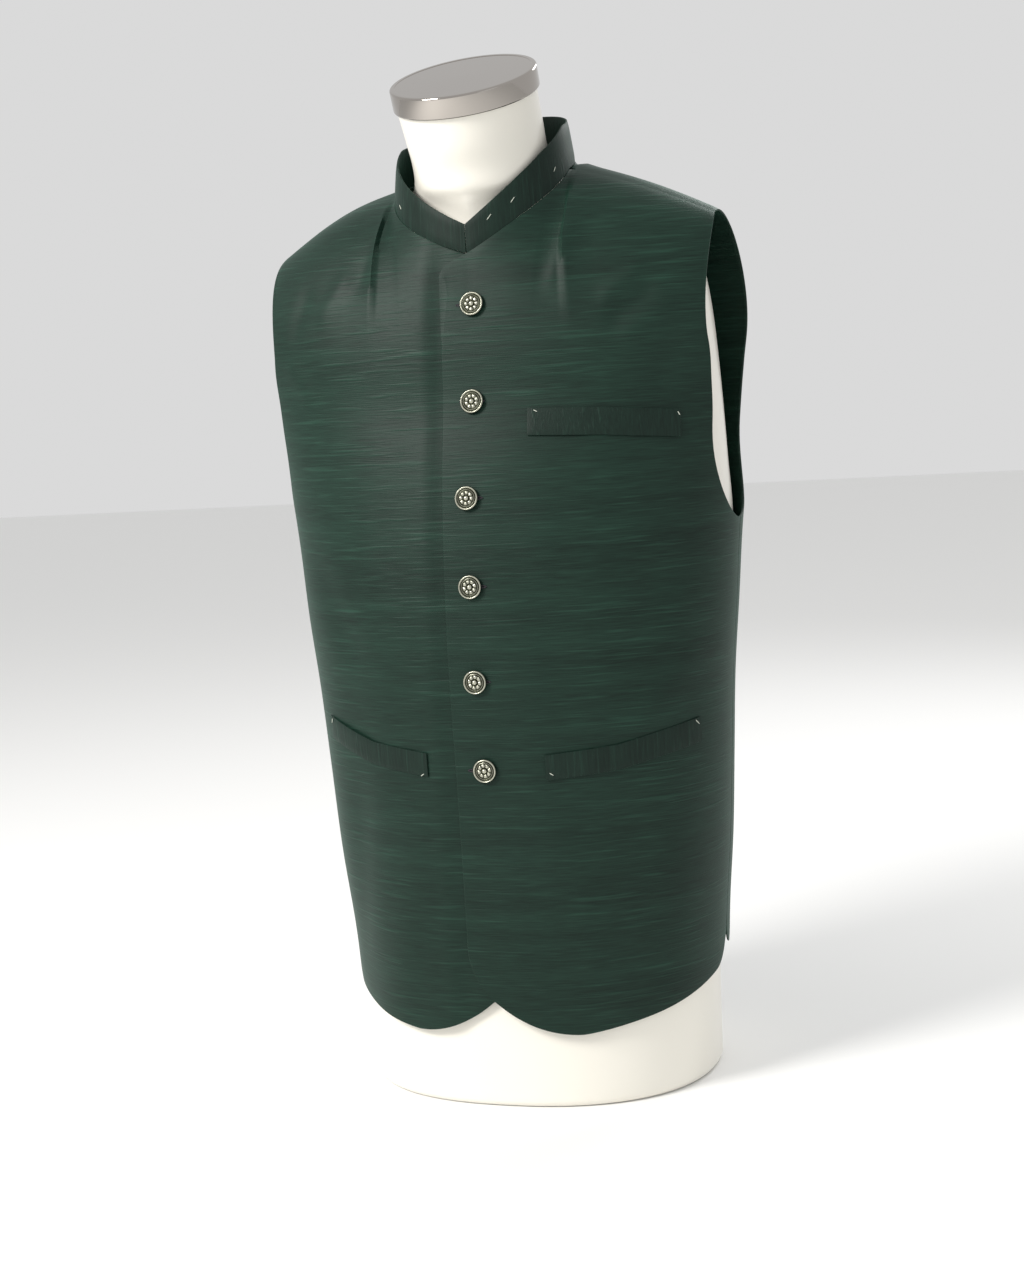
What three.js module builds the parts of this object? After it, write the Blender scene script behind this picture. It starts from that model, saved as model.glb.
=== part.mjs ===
// A nehru jacket, buttoned, standing on a limbless dress form with a chrome neck cap.
// Millimetres, +Z up, the front faces -Y and the wearer's left is +X.
// The origin is the middle of the whole object's box, on the surface that the form stands on.
import * as THREE from 'three';

// ---- driving dimensions ----
const neckHeight = 705;            // centre-front neck seam above the surface that the form stands on
const cloth = 2.0;                 // shell, interlining and lining together
const collarCloth = 2.4;
const seamGap = 0.7;               // between pieces that are sewn together
const overlap = 21;                // each front goes this far past the centre front
const lapRoom = cloth + 1;         // how far the under front dips where the other lies on it
const lapRamp = { start: 38, end: 23 };
const armhole = { bottom: 230, turn: 150 };   // drops below the neck seam: lowest point, start of its curve
const yokeDrop = 80;               // the trunk sections end here and the yoke begins
const tipPoint = { x: 191, y: -14, rise: 17 };        // shoulder tip
const seamCrown = { left: 3, right: 8 };              // rise of each shoulder seam in its middle
const neck = { half: 77, frontY: -87, backY: 52, sideY: -20, sideRise: 63, backRise: 82 };
const frontHem = { edgeDrop: 568, cornerWidth: 85, lowDrop: 641, sideRise: 34, ventRadius: 24, length: 264 };
const backHem = { drop: 600, cornerRadius: 28, length: 262 };
const neckShare = { front: 0.42, back: 0.36 };        // part of each panel's width that ends at the neckline
const lean = { across: 4, rise: 4, reach: 60 };       // the neck sits a little to the right, and the left side higher
const collar = { frontHeight: 23, height: 35, lean: 0.14 };
const welt = { thick: 1.6, gap: 0.5 };
const button = { radius: 10, gap: 0.5, sides: 20 };
const formGap = 9;                 // from the jacket's outer face to the form
const cap = { radius: 61, thick: 18, tilt: 22.6, y: -67, rise: 143, bevel: 1.2, sides: 48 };
const middleY = -12.22;             // middle of the whole object's depth, which the origin is moved to
const bands = { hem: [0, 0.25, 0.6], levels: [540, 480, 420, 360, 305, 262], arm: 5, chest: [134, 116, 98], yoke: 6 };

const rowsOf = (columns, rows) => rows.map(
  (row) => Object.fromEntries(columns.map((name, i) => [name, row[i]])));

// Trunk sections of the jacket's outer face, each at its drop below the neck seam: how far
// forward the centre front is, half width, where the side seam lies, how far back the centre
// back is, and the powers of the front and back superellipses.
const trunkRows = rowsOf(
  ['drop', 'front', 'half', 'side', 'back', 'frontPower', 'backPower'], [
    [60, 101, 240, 14, 100, 2.15, 2.3],
    [80, 104, 232, 12, 106, 2.15, 2.3],
    [120, 109, 218, 9, 114, 2.15, 2.3],
    [170, 121, 205, 5, 119, 2.15, 2.3],
    [230, 131, 196, 2, 116, 2.15, 2.3],
    [300, 137, 190, 0, 106, 2.15, 2.25],
    [360, 138, 184, 0, 101, 2.15, 2.2],
    [430, 137, 179, 0, 105, 2.15, 2.2],
    [500, 137, 174, 0, 112, 2.15, 2.2],
    [570, 138, 167, 0, 116, 2.15, 2.2],
    [660, 139, 162, 0, 118, 2.15, 2.2],
  ]);

// How far the armhole's front and back edges lie from the side seam.
const armRows = rowsOf(['drop', 'front', 'back'], [
  [60, 76, 56],
  [100, 66, 60],
  [150, 58, 60],
  [230, 54, 54],
]);

// Welts on the fronts: which side, thickness direction is out, and the drop of the top edge
// and the width of the strip at its inner, middle and outer ends.
const weltRows = rowsOf(
  ['name', 'side', 'inner', 'outer', 'innerTop', 'middleTop', 'outerTop', 'width'], [
    ['breast_welt', 1, 51, 167, 128, 131, 136.5, 21.5],
    ['hip_welt_left', 1, 55, 166.5, 406.5, 401.5, 388, 20.5],
    ['hip_welt_right', -1, 46, 150, 404, 396.5, 379.5, 19.5],
  ]);

const buttonRows = rowsOf(['drop', 'across'], [
  [42, 6], [120, 5], [197, 1], [268, 2], [345, 2], [418, 5],
]);

// Sections of the form above the trunk: height over the neck seam, where its widest points
// lie, half width, front and back reach from there, power and forward tilt in degrees.
const formRows = rowsOf(['rise', 'y', 'half', 'front', 'back', 'power', 'tilt'], [
  [-80, 8, 180, 100, 88, 2.3, 0],
  [-50, 2, 179, 87, 86, 2.2, 0],
  [-28, -2, 177, 78, 83, 2.1, 0],
  [-10, -4, 174, 72, 79, 1.95, 0],
  [4, -5, 168, 68, 74, 1.8, 0],
  [14, -6, 158, 66, 69, 1.62, 0],
  [22, -7, 144, 65, 64, 1.48, 0],
  [30, -8, 127, 64, 58, 1.38, 1],
  [38, -10, 108, 64, 53, 1.34, 2],
  [46, -13, 88, 64, 48, 1.42, 4],
  [54, -18, 71, 62, 45, 1.65, 7],
  [64, -24, 61, 61, 45, 1.9, 11],
  [80, -34, 57, 57, 49, 2, 15],
  [102, -46, 57, 57, 54, 2, 19],
]);

// ---- small helpers ----
const mix = (a, b, t) => a + (b - a) * t;
const clamp01 = (t) => Math.min(1, Math.max(0, t));
const V = (x, y, z) => new THREE.Vector3(x, y, z);
const span = (from, to, steps) => Array.from({ length: steps + 1 }, (_, i) => mix(from, to, i / steps));
const signedPower = (v, power) => Math.sign(v) * Math.abs(v) ** power;

// Smooth value of one column of a table, read at a value of its first column.
function read(rows, key, column, at) {
  const last = rows.length - 1;
  let i = rows.findIndex((row) => row[key] > at) - 1;
  if (i < 0) i = at < rows[0][key] ? 0 : last - 1;
  const slope = (k) => {
    const a = rows[Math.max(0, k - 1)];
    const b = rows[Math.min(last, k + 1)];
    return (b[column] - a[column]) / (b[key] - a[key]);
  };
  const step = rows[i + 1][key] - rows[i][key];
  const t = clamp01((at - rows[i][key]) / step);
  return hermite(rows[i][column], rows[i + 1][column], step * slope(i), step * slope(i + 1), t);
}

function hermite(a, b, slopeA, slopeB, t) {
  return (1 + 2 * t) * (1 - t) ** 2 * a + t * (1 - t) ** 2 * slopeA
    + t * t * (3 - 2 * t) * b + t * t * (t - 1) * slopeB;
}

function hermitePoint(a, b, slopeA, slopeB, t) {
  return V(
    hermite(a.x, b.x, slopeA.x, slopeB.x, t),
    hermite(a.y, b.y, slopeA.y, slopeB.y, t),
    hermite(a.z, b.z, slopeA.z, slopeB.z, t));
}

// ---- the jacket's outer face ----
const trunkAt = (drop) => Object.fromEntries(
  ['front', 'half', 'side', 'back', 'frontPower', 'backPower'].map(
    (column) => [column, read(trunkRows, 'drop', column, drop)]));

// A point of the trunk: the angle runs from 0 at the centre to 90 degrees at the side seam.
function trunkPoint(angle, drop, isFront) {
  const s = trunkAt(drop);
  const power = isFront ? s.frontPower : s.backPower;
  const across = signedPower(Math.sin(angle), 2 / power);
  const out = Math.abs(Math.cos(angle)) ** (2 / power);
  const y = isFront ? s.side - (s.front + s.side) * out : s.side + (s.back - s.side) * out;
  return V(s.half * across, y, neckHeight - drop);
}

// Angle at which a row ends: the side seam, or the armhole, whose lower end is a quarter ellipse.
function rowEnd(drop, isFront) {
  if (drop >= armhole.bottom) return Math.PI / 2;
  const s = trunkAt(drop);
  const k = clamp01((drop - armhole.turn) / (armhole.bottom - armhole.turn));
  const reach = read(armRows, 'drop', isFront ? 'front' : 'back', drop) * Math.sqrt(1 - k * k);
  const depth = isFront ? s.front + s.side : s.back - s.side;
  return Math.acos(clamp01(reach / depth) ** ((isFront ? s.frontPower : s.backPower) / 2));
}

const rowStart = (drop) => {
  const s = trunkAt(drop);
  return -Math.asin((overlap / s.half) ** (s.frontPower / 2));
};

// The neck seam, from 0 at the centre front to 180 degrees at the centre back.
function neckPoint(angle) {
  const s = Math.abs(Math.sin(angle));
  const c = Math.abs(Math.cos(angle));
  const isFront = angle <= Math.PI / 2;
  const past = clamp01(angle / (Math.PI / 2) - 1);
  const y = isFront ? mix(neck.sideY, neck.frontY, c) : mix(neck.sideY, neck.backY, c ** 0.85);
  const rise = isFront
    ? neck.sideRise * clamp01(angle / (Math.PI / 2))
    : mix(neck.sideRise, neck.backRise, Math.sin(past * Math.PI / 2) ** 0.9);
  return V(neck.half * s ** 0.88, y, neckHeight + rise);
}

const tip = V(tipPoint.x, tipPoint.y, neckHeight + tipPoint.rise);
const seamStart = neckPoint(Math.PI / 2).add(V(0, 6, 0));

function shoulderPoint(t, side) {
  const crown = side > 0 ? seamCrown.left : seamCrown.right;
  return seamStart.clone().lerp(tip, t).add(V(0, 0, crown * Math.sin(Math.PI * t)));
}

// The whole neck and shoulder zone leans a little, because the jacket isn't worn dead straight.
function settle(p) {
  const w = clamp01((p.z - (neckHeight - 90)) / 110);
  const eased = w * w * (3 - 2 * w);
  const out = Math.abs(p.x);
  const shift = clamp01(out / neck.half) * clamp01((tip.x - out) / (tip.x - neck.half));
  return V(p.x - lean.across * eased * shift, p.y, p.z + lean.rise * Math.tanh(p.x / lean.reach) * eased);
}

// ---- front panel, worked out for the wearer's left ----
const edgeShare = overlap / frontHem.length;
const chestSlope = { over: 0.3, under: 0.1 };            // how far the chest comes forward for each millimetre down, below the neck

function frontShares() {
  const quarter = (steps) => span(0, Math.PI / 2, steps);
  const ventStart = frontHem.length - frontHem.ventRadius;
  return [
    ...quarter(9).map((a) => frontHem.cornerWidth * (1 - Math.cos(a))),
    ...span(frontHem.cornerWidth, ventStart, 8).slice(1),
    ...quarter(4).slice(1).map((a) => ventStart + frontHem.ventRadius * Math.sin(a)),
  ].map((along) => along / frontHem.length);
}

// Drop of the hem: round at the centre front, lowest beside it, rising to a round vent corner.
function frontHemDrop(share) {
  const h = frontHem;
  const along = share * h.length;
  const corner = Math.sqrt(1 - (1 - clamp01(along / h.cornerWidth)) ** 2);
  const past = clamp01((along - h.cornerWidth) / (h.length - h.cornerWidth));
  const vent = Math.max(0, along - (h.length - h.ventRadius));
  return h.edgeDrop + (h.lowDrop - h.edgeDrop) * corner - h.sideRise * past ** 1.2
    - (h.ventRadius - Math.sqrt(Math.max(0, h.ventRadius ** 2 - vent ** 2)));
}

// Top edge: the round corner past the centre front, the neckline, then the shoulder seam.
function frontTop(share, side) {
  if (share < edgeShare) {
    const u = 1 - share / edgeShare;
    const turn = 1 - Math.sqrt(1 - clamp01((u - 0.55) / 0.45) ** 2);
    const fall = 9 * u + 7 * turn;
    const slope = side > 0 ? chestSlope.over : chestSlope.under;
    return V(-(overlap + 1) * u, neck.frontY - slope * fall, neckHeight - fall);
  }
  if (share < neckShare.front) {
    return neckPoint((share - edgeShare) / (neckShare.front - edgeShare) * Math.PI / 2);
  }
  return shoulderPoint((share - neckShare.front) / (1 - neckShare.front), side);
}

function frontTopSlope(share) {
  const k = clamp01((share - edgeShare) / (neckShare.front - edgeShare)) ** 1.3;
  const s = clamp01((share - neckShare.front) / (1 - neckShare.front));
  const onNeck = share < neckShare.front;
  return V(
    onNeck ? -0.05 * k : -0.05 - 0.1 * s,
    onNeck ? mix(0.22, 0.8, k) : 0.88 + 0.05 * s,
    onNeck ? mix(0.97, 0.6, k) : 0.4 - 0.05 * s).normalize();
}

// The mean of an edge over a short stretch, so that its corners don't run down into the panel.
function softened(edge, share, lowest) {
  const reach = 0.1;
  const sum = V(0, 0, 0);
  const offsets = span(-reach, reach, 6);
  offsets.forEach((d) => sum.add(edge(Math.min(1, Math.max(lowest, share + d)))));
  return sum.divideScalar(offsets.length);
}

// Columns of the yoke rise from the last trunk row to the top edge.
function yokePoint(row, edge, slope, share, t, reach, lowest) {
  const bottom = row(yokeDrop, share);
  const up = row(yokeDrop - 4, share).sub(row(yokeDrop + 4, share)).normalize();
  const top = edge(share);
  const isEnd = share === 1 || share === lowest;
  const soft = isEnd ? top.clone() : softened(edge, share, lowest);
  const length = top.distanceTo(bottom);
  const curve = hermitePoint(
    bottom, soft, up.multiplyScalar(length * reach.bottom), slope(share).multiplyScalar(length * reach.top), t);
  return curve.add(top.sub(soft).multiplyScalar(t ** 5));
}

const frontRow = (drop, share) => {
  const start = rowStart(drop);
  return trunkPoint(mix(start, rowEnd(drop, true), share), drop, true);
};
const frontReach = { bottom: 1, top: 1.05 };
const frontYoke = (share, t, side) => yokePoint(
  frontRow, (s) => frontTop(s, side), frontTopSlope, share, t, frontReach, 0);

const armDrops = span(0, Math.PI / 2, bands.arm).map(
  (a) => armhole.turn + (armhole.bottom - armhole.turn) * Math.cos(a));

function frontGrid(side) {
  const shares = frontShares();
  const grid = [
    ...bands.hem.map((w) => shares.map((g) => frontRow(mix(frontHemDrop(g), bands.levels[0], w), g))),
    ...[...bands.levels, ...armDrops, ...bands.chest].map((drop) => shares.map((g) => frontRow(drop, g))),
    ...span(0, 1, bands.yoke).map((t) => shares.map((g) => frontYoke(g, t, side))),
  ];
  return grid.map((row) => row.map((p) => settle(V(p.x * side, p.y, p.z))));
}

// ---- back panel ----
function backShares() {
  const start = backHem.length - backHem.cornerRadius;
  const half = [
    ...span(0, start, 11),
    ...span(0, Math.PI / 2, 4).slice(1).map((a) => start + backHem.cornerRadius * Math.sin(a)),
  ].map((along) => along / backHem.length);
  return [...half.slice(1).reverse().map((g) => -g), ...half];
}

function backHemDrop(share) {
  const past = Math.max(0, Math.abs(share) * backHem.length - (backHem.length - backHem.cornerRadius));
  return backHem.drop - (backHem.cornerRadius - Math.sqrt(Math.max(0, backHem.cornerRadius ** 2 - past ** 2)));
}

function backTop(share) {
  const out = Math.abs(share);
  const side = share < 0 ? -1 : 1;
  const p = out < neckShare.back
    ? neckPoint(Math.PI * (1 - out / neckShare.back / 2))
    : shoulderPoint((out - neckShare.back) / (1 - neckShare.back), side);
  return V(p.x * side, p.y, p.z);
}

function backTopSlope(share) {
  const k = clamp01(Math.abs(share) / neckShare.back);
  const s = clamp01((Math.abs(share) - neckShare.back) / (1 - neckShare.back));
  const onNeck = Math.abs(share) < neckShare.back;
  const length = onNeck ? mix(1, 1.22, k) : mix(1.22, 1.12, s);
  return V(
    (onNeck ? -0.05 * k : -0.05 * (1 - s)) * Math.sign(share),
    onNeck ? mix(-0.45, -0.8, k * k) : -0.9,
    onNeck ? mix(0.9, -0.3, k * k) : 0.05 * s - 0.4).normalize().multiplyScalar(length);
}

const backRow = (drop, share) => trunkPoint(rowEnd(drop, false) * share, drop, false);
const backYoke = (share, t) => yokePoint(
  backRow, backTop, backTopSlope, share, t, { bottom: 1.15, top: 1 }, -1);

function backGrid() {
  const shares = backShares();
  return [
    ...[0, 0.5].map((w) => shares.map((g) => backRow(mix(backHemDrop(g), bands.levels[0], w), g))),
    ...[...bands.levels, ...armDrops, ...bands.chest].map((drop) => shares.map((g) => backRow(drop, g))),
    ...span(0, 1, bands.yoke + 2).map((t) => shares.map((g) => backYoke(g, t))),
  ].map((row) => row.map(settle));
}

// ---- collar: a band round the neck seam, open at the centre front ----
function collarGrid() {
  const point = (angle, side, t) => {
    const share = clamp01(angle / (Math.PI / 2));
    const seam = neckPoint(angle);
    const height = mix(collar.frontHeight, collar.height, clamp01(share * 1.6) ** 0.8);
    const inward = collar.lean * share;
    const up = V(-Math.sin(angle) * inward, Math.cos(angle) * inward, 1).normalize();
    const p = seam.addScaledVector(up, mix(seamGap, height, t));
    return settle(V(Math.max(p.x, seamGap / 2) * side, p.y, p.z));
  };
  const half = span(0, Math.PI, 20);
  const round = [...half.map((a) => ({ a, side: 1 })), ...half.slice(0, -1).reverse().map((a) => ({ a, side: -1 }))];
  return span(0, 1, 3).map((t) => round.map(({ a, side }) => point(a, side, t)));
}

// ---- walls: an outer grid, its inner copy moved along the normals, and the rim between ----
function gridNormals(grid) {
  const last = { r: grid.length - 1, c: grid[0].length - 1 };
  return grid.map((row, r) => row.map((_, c) => {
    const across = grid[r][Math.min(last.c, c + 1)].clone().sub(grid[r][Math.max(0, c - 1)]);
    const up = grid[Math.min(last.r, r + 1)][c].clone().sub(grid[Math.max(0, r - 1)][c]);
    return across.cross(up).normalize();
  }));
}

const moved = (grid, normals, by) => grid.map(
  (row, r) => row.map((p, c) => p.clone().addScaledVector(normals[r][c], typeof by === 'function' ? by(p) : by)));

// Pulls the chosen rims of a grid back along its own rows and columns, for the seam gap.
function trimmed(grid, { first = false, last = false, top = false }) {
  const pull = (from, towards) => {
    const step = towards.clone().sub(from);
    return from.clone().addScaledVector(step, seamGap / 2 / step.length());
  };
  const out = grid.map((row) => {
    const copy = row.slice();
    if (first) copy[0] = pull(row[0], row[1]);
    if (last) copy[copy.length - 1] = pull(row[row.length - 1], row[row.length - 2]);
    return copy;
  });
  if (top) {
    const n = out.length - 1;
    out[n] = out[n].map((p, c) => pull(p, out[n - 1][c]));
  }
  return out;
}

function wallGeometry(outer, inner) {
  const rows = outer.length;
  const cols = outer[0].length;
  const positions = [...outer.flat(), ...inner.flat()].flatMap((p) => [p.x, p.y, p.z]);
  const out = (r, c) => r * cols + c;
  const inn = (r, c) => rows * cols + r * cols + c;
  const index = [];
  const quad = (a, b, c, d) => index.push(a, b, c, a, c, d);
  for (let r = 0; r < rows - 1; r += 1) {
    for (let c = 0; c < cols - 1; c += 1) {
      quad(out(r, c), out(r, c + 1), out(r + 1, c + 1), out(r + 1, c));
      quad(inn(r, c), inn(r + 1, c), inn(r + 1, c + 1), inn(r, c + 1));
    }
    quad(out(r, 0), out(r + 1, 0), inn(r + 1, 0), inn(r, 0));
    quad(out(r, cols - 1), inn(r, cols - 1), inn(r + 1, cols - 1), out(r + 1, cols - 1));
  }
  for (let c = 0; c < cols - 1; c += 1) {
    quad(out(0, c), inn(0, c), inn(0, c + 1), out(0, c + 1));
    quad(out(rows - 1, c), out(rows - 1, c + 1), inn(rows - 1, c + 1), inn(rows - 1, c));
  }
  const geometry = new THREE.BufferGeometry();
  geometry.setAttribute('position', new THREE.Float32BufferAttribute(positions, 3));
  geometry.setIndex(index);
  geometry.computeVertexNormals();
  return geometry;
}

// A wall whose grid runs to the wearer's left as its columns go up, or to the right if flipped.
function clothWall(grid, thick, flipped = false) {
  const face = flipped ? grid.map((row) => row.slice().reverse()) : grid;
  return wallGeometry(face, moved(face, gridNormals(face), -thick));
}

// ---- materials ----
const silk = new THREE.MeshStandardMaterial({ color: 0x1f3d33, roughness: 0.55, metalness: 0 });
const silkTurned = new THREE.MeshStandardMaterial({ color: 0x1a332b, roughness: 0.5, metalness: 0 });
const silver = new THREE.MeshStandardMaterial({ color: 0xb9b8ab, roughness: 0.3, metalness: 1 });
const chrome = new THREE.MeshStandardMaterial({ color: 0xd8d8d8, roughness: 0.08, metalness: 1 });
const whiteForm = new THREE.MeshStandardMaterial({ color: 0xefece2, roughness: 0.4, metalness: 0 });

const jacketOnForm = new THREE.Group();
function addMesh(name, geometry, material) {
  const mesh = new THREE.Mesh(geometry, material);
  mesh.name = name;
  jacketOnForm.add(mesh);
  return mesh;
}

// ---- the fronts ----
const leftFace = trimmed(frontGrid(1), { last: true, top: true });
addMesh('front_left', clothWall(leftFace, cloth), silk);

// The under front dips by the cloth's thickness where the other front lies on it.
const rightFace = trimmed(frontGrid(-1), { last: true, top: true }).map((row) => row.slice().reverse());
const lapDip = (p) => -lapRoom * clamp01((lapRamp.start + p.x) / (lapRamp.start - lapRamp.end));
const rightDipped = moved(rightFace, gridNormals(rightFace), lapDip);
addMesh('front_right', clothWall(rightDipped, cloth), silk);

// ---- the back, whose columns run from the wearer's right to the left ----
const backFace = trimmed(backGrid(), { first: true, last: true, top: true });
addMesh('back', clothWall(backFace, cloth, true), silk);

addMesh('collar', clothWall(collarGrid(), collarCloth), silkTurned);

// ---- welts, on the fronts' own points ----
// The angle of a trunk section that lies at a distance across.
function angleAcross(x, drop) {
  const s = trunkAt(drop);
  return Math.asin(clamp01(x / s.half) ** (s.frontPower / 2));
}

for (const row of weltRows) {
  const topDrop = (t) => (t < 0.5
    ? mix(row.innerTop, row.middleTop, t * 2)
    : mix(row.middleTop, row.outerTop, t * 2 - 1));
  const face = span(1, 0, 2).map((w) => span(0, 1, 10).map((t) => {
    const drop = topDrop(t) + row.width * w;
    const p = trunkPoint(angleAcross(mix(row.inner, row.outer, t), drop), drop, true);
    return settle(V(p.x * row.side, p.y, p.z));
  }));
  const ordered = row.side > 0 ? face : face.map((r) => r.slice().reverse());
  const outer = moved(ordered, gridNormals(ordered), welt.gap + welt.thick);
  addMesh(row.name, clothWall(outer, welt.thick), silkTurned);
}

// ---- buttons: a shank, a dished disc with a raised rim, and a bead in its middle ----
const buttonProfile = rowsOf(['out', 'up'], [
  [0, 0], [3, 0], [3, 1.3], [9.2, 1.3], [10, 1.9], [10, 2.7], [8.9, 3.4], [7.8, 3],
  [3, 3.7], [2.3, 4.6], [0, 5],
]).map((row) => new THREE.Vector2(row.out, row.up));

// The front's surface at a place across and a drop, found by halving the share and the height.
function frontSurface(across, drop) {
  const place = (share, v) => settle(drop < yokeDrop ? frontYoke(share, v, 1) : frontRow(drop, share));
  let range = { lowShare: 0, highShare: 1, lowRise: 0, highRise: 1 };
  for (let i = 0; i < 40; i += 1) {
    const share = (range.lowShare + range.highShare) / 2;
    const rise = (range.lowRise + range.highRise) / 2;
    const p = place(share, rise);
    if (p.x < across) range.lowShare = share; else range.highShare = share;
    if (p.z < neckHeight - drop) range.lowRise = rise; else range.highRise = rise;
  }
  return place(range.lowShare, range.lowRise);
}

buttonRows.forEach((row, i) => {
  const step = 4;
  const middle = frontSurface(row.across, row.drop);
  const across = frontSurface(row.across + step, row.drop).sub(frontSurface(row.across - step, row.drop));
  const up = frontSurface(row.across, row.drop - step).sub(frontSurface(row.across, row.drop + step));
  const out = across.cross(up).normalize();
  const mesh = addMesh(`button_${i + 1}`, new THREE.LatheGeometry(buttonProfile, button.sides), silver);
  mesh.quaternion.setFromUnitVectors(V(0, 1, 0), out);
  mesh.position.copy(middle.addScaledVector(out, button.gap));
});

// ---- the dress form: rings from its flat underside to the neck ----
function formRing(sides, ring) {
  const tan = Math.tan(THREE.MathUtils.degToRad(ring.tilt));
  return span(0, 2 * Math.PI, sides).slice(0, -1).map((a) => {
    const across = signedPower(Math.sin(a), 2 / ring.power);
    const along = signedPower(-Math.cos(a), 2 / ring.power);
    const dy = along * (along < 0 ? ring.front : ring.back);
    return V(ring.half * across, ring.y + dy, ring.z + dy * tan);
  });
}

// A body from rings, closed at each end by a fan round the ring's middle.
function ringBody(rings) {
  const sides = rings[0].length;
  const middleOf = (ring) => ring.reduce((sum, p) => sum.add(p), V(0, 0, 0)).divideScalar(sides);
  const points = [...rings.flat(), middleOf(rings[0]), middleOf(rings[rings.length - 1])];
  const bottom = points.length - 2;
  const top = points.length - 1;
  const index = [];
  for (let i = 0; i < sides; i += 1) {
    const j = (i + 1) % sides;
    for (let r = 0; r < rings.length - 1; r += 1) {
      const a = r * sides;
      index.push(a + i, a + j, a + sides + j, a + i, a + sides + j, a + sides + i);
    }
    const last = (rings.length - 1) * sides;
    index.push(bottom, j, i, top, last + i, last + j);
  }
  const geometry = new THREE.BufferGeometry();
  geometry.setAttribute('position', new THREE.Float32BufferAttribute(points.flatMap((p) => [p.x, p.y, p.z]), 3));
  geometry.setIndex(index);
  geometry.computeVertexNormals();
  return geometry;
}

// Trunk rings follow the jacket's sections, set in by the gap, and never wider than the shoulders.
const formShoulder = 180;
const formDrops = [610, 540, 470, 400, 340, 280, 230, 180, 130];
const trunkRing = (z, inset) => {
  const s = trunkAt(Math.min(neckHeight - z, 660));
  return {
    z,
    y: s.side,
    half: Math.min(s.half - inset, formShoulder + 7 * clamp01((neckHeight - z - 80) / 150)),
    front: s.front + s.side - inset,
    back: s.back - s.side - inset,
    power: 2.3,
    tilt: 0,
  };
};
const foot = { radius: 6, sides: 48 };
const tilt = THREE.MathUtils.degToRad(cap.tilt);
const capAxis = V(0, -Math.sin(tilt), Math.cos(tilt));
const capTop = V(0, cap.y, neckHeight + cap.rise);
const capBottom = capTop.clone().addScaledVector(capAxis, -cap.thick);
const neckTop = capBottom.clone().addScaledVector(capAxis, -0.3);
const neckRadius = cap.radius - 3;
const neckRing = {
  z: neckTop.z, y: neckTop.y, half: neckRadius, power: 2, tilt: cap.tilt,
  front: neckRadius * Math.cos(tilt), back: neckRadius * Math.cos(tilt),
};
const formRings = [
  trunkRing(0, formGap + foot.radius),
  trunkRing(foot.radius * 0.3, formGap + foot.radius * 0.3),
  trunkRing(foot.radius, formGap),
  ...formDrops.map((drop) => trunkRing(neckHeight - drop, formGap)),
  ...formRows.map((row) => ({ ...row, z: neckHeight + row.rise })),
  neckRing,
].map((ring) => formRing(foot.sides, ring));
addMesh('form_torso', ringBody(formRings), whiteForm);

// ---- the neck cap: a thick polished disc, square to the neck ----
const capProfile = rowsOf(['out', 'up'], [
  [0, 0], [cap.radius - cap.bevel, 0], [cap.radius, cap.bevel], [cap.radius, cap.thick - cap.bevel],
  [cap.radius - cap.bevel, cap.thick], [0, cap.thick],
]).map((row) => new THREE.Vector2(row.out, row.up));
const capMesh = addMesh('neck_cap', new THREE.LatheGeometry(capProfile, cap.sides), chrome);
capMesh.quaternion.setFromUnitVectors(V(0, 1, 0), capAxis);
capMesh.position.copy(capBottom);

jacketOnForm.position.y = -middleY;
export default jacketOnForm;
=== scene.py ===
# Looks of a nehru jacket in dark green slub silk, on a white dress form with a chrome neck cap.
# Row frame: metres, +Z up, the front faces -Y, the wearer's left is +X. Shapes are worked out in
# millimetres round the neck's own origin, and buildPiece turns them into the row frame.
import math

import bpy
import numpy as np
from mathutils import Matrix, Vector


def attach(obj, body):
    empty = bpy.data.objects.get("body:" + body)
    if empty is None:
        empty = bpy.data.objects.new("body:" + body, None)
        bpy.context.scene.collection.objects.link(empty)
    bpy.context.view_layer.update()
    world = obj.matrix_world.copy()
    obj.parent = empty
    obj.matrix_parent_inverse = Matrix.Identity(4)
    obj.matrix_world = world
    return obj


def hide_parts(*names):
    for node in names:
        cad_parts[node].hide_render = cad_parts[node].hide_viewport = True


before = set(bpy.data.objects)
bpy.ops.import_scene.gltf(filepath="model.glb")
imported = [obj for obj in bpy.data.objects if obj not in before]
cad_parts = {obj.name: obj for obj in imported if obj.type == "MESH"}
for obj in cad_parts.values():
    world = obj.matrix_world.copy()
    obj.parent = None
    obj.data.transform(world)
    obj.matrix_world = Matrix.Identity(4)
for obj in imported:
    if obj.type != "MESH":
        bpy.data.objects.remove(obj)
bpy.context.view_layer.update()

neckHeight = 705            # centre-front neck seam above the floor
depthShift = 12.22          # the row frame's origin is this far in front of the neck's own
halfTurn = math.pi / 2
cloth = {"thick": 2.0, "overlap": 21, "lapRoom": 3.0, "lapStart": 38, "lapEnd": 23, "yokeDrop": 80}
armhole = {"bottom": 230, "turn": 150}      # drops of its lowest point and of the start of its curve
neck = {"half": 77, "frontY": -87, "backY": 52, "sideY": -20, "sideRise": 63, "backRise": 82}
tipPoint = np.array([191.0, -14.0, neckHeight + 17.0])
seamCrown = {1: 3, -1: 8}                   # rise of each side's shoulder seam in its middle

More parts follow.
